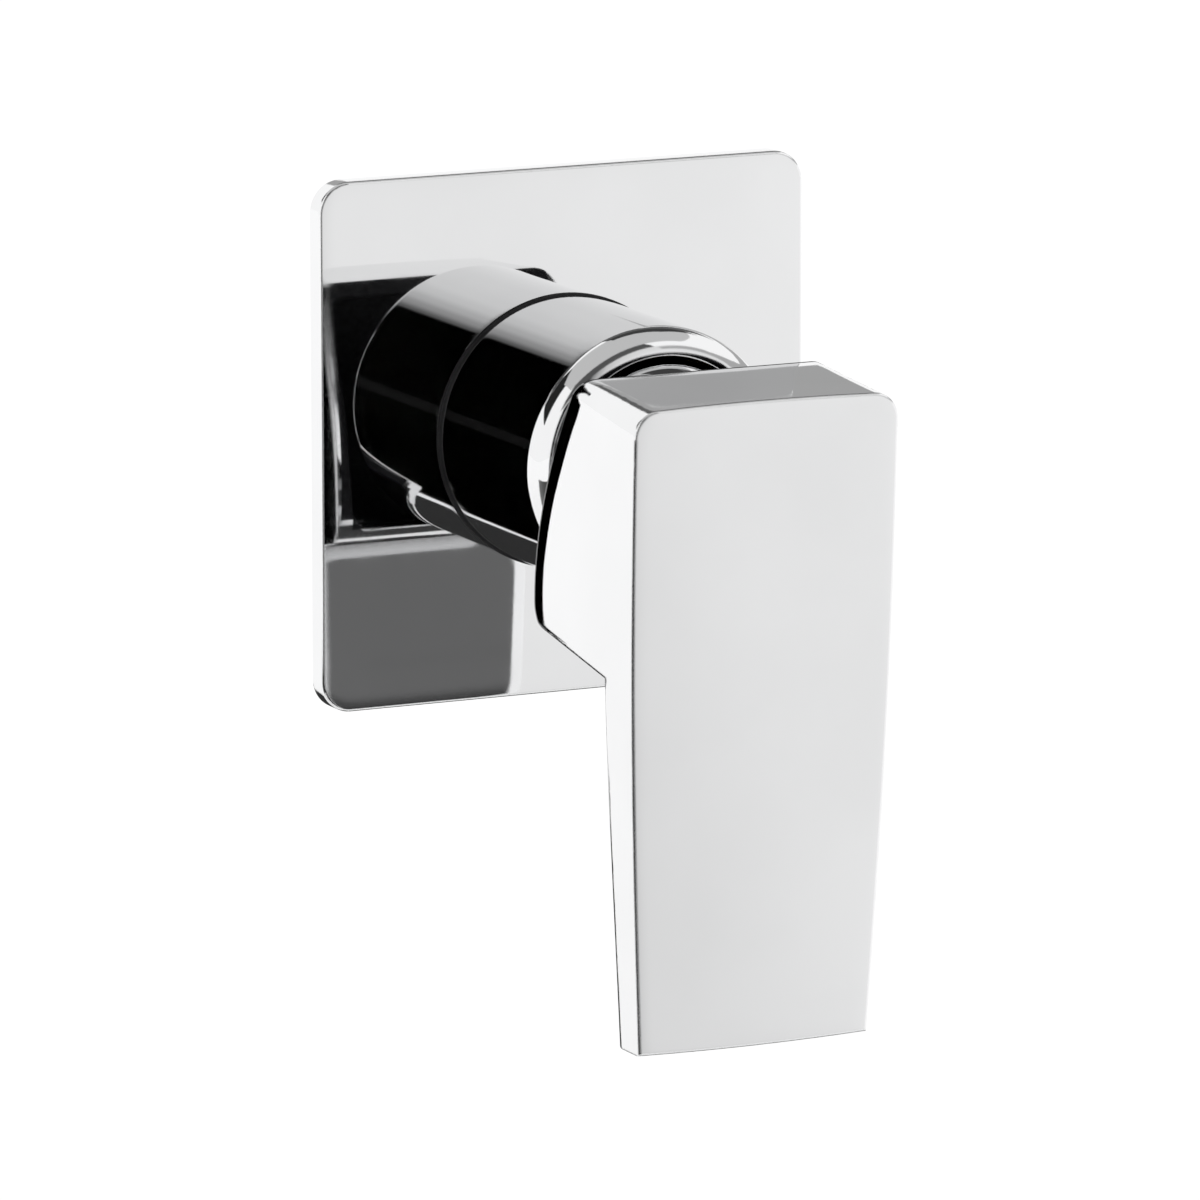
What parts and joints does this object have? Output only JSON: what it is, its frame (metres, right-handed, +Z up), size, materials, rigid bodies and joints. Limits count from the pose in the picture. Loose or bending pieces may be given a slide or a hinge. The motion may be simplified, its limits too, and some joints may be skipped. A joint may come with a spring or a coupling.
{
  "type": "concealed shower mixer",
  "caption": "Chromed single-lever shower mixer for wall mounting: square plate, round sleeve, hollow lever, and the brass body and ceramic cartridge hidden behind them.",
  "frame": {"origin": "on the cartridge axis, midway between the two wall-fixing holes, in the rear plane of the body's ears", "axes": "+Z up, -Y out of the wall towards the user, +X to the user's right; the finished wall is the plane y = -0.037"},
  "size_m": [0.1, 0.1271, 0.1515],
  "materials": {
    "chrome": "polished chrome plating",
    "handle_chrome": "polished chrome on a zinc casting",
    "brass": "cast and machined brass",
    "nut_brass": "turned brass",
    "seal_rubber": "smooth black rubber",
    "foam": "soft closed-cell foam",
    "cartridge_plastic": "moulded plastic",
    "rotor_plastic": "moulded plastic",
    "ceramic": "lapped ceramic",
    "steel": "drawn steel"
  },
  "bodies": {
    "fixed": {"wall_plate": "chrome", "plate_gasket": "foam", "plate_o_ring": "seal_rubber", "cover_sleeve": "chrome", "sleeve_o_rings": "seal_rubber", "dome_cap": "chrome", "mixer_body": "brass", "retaining_nut": "nut_brass", "cartridge_housing": "cartridge_plastic", "cartridge_base": "cartridge_plastic", "port_seals": "seal_rubber", "fixed_disc": "ceramic", "stop_ring": "rotor_plastic"},
    "rotor": {"cartridge_rotor": "rotor_plastic", "spindle_pin": "steel", "rotor_o_ring": "seal_rubber"},
    "lever": {"spindle": "steel", "handle": "handle_chrome", "grub_screw": "steel"},
    "mixing_disc": {"moving_disc": "ceramic", "disc_carrier": "rotor_plastic"}
  },
  "joints": [
    {"name": "temperature_turn", "type": "hinge", "parent": "fixed", "child": "rotor", "pos_m": [0, -0.079, 0], "axis": [0, 1, 0], "range_deg": [-50, 50]},
    {"name": "lever_lift", "type": "hinge", "parent": "rotor", "child": "lever", "pos_m": [0, -0.079, 0], "axis": [-1, 0, 0], "range_deg": [0, 25]},
    {"name": "disc_slide", "type": "slide", "parent": "rotor", "child": "mixing_disc", "axis": [0, 0, -1], "range_m": [0, 0.0055]}
  ],
  "couplings": [
    {"joint": "disc_slide", "follows": "lever_lift", "m_per_rad": 0.0125}
  ]
}
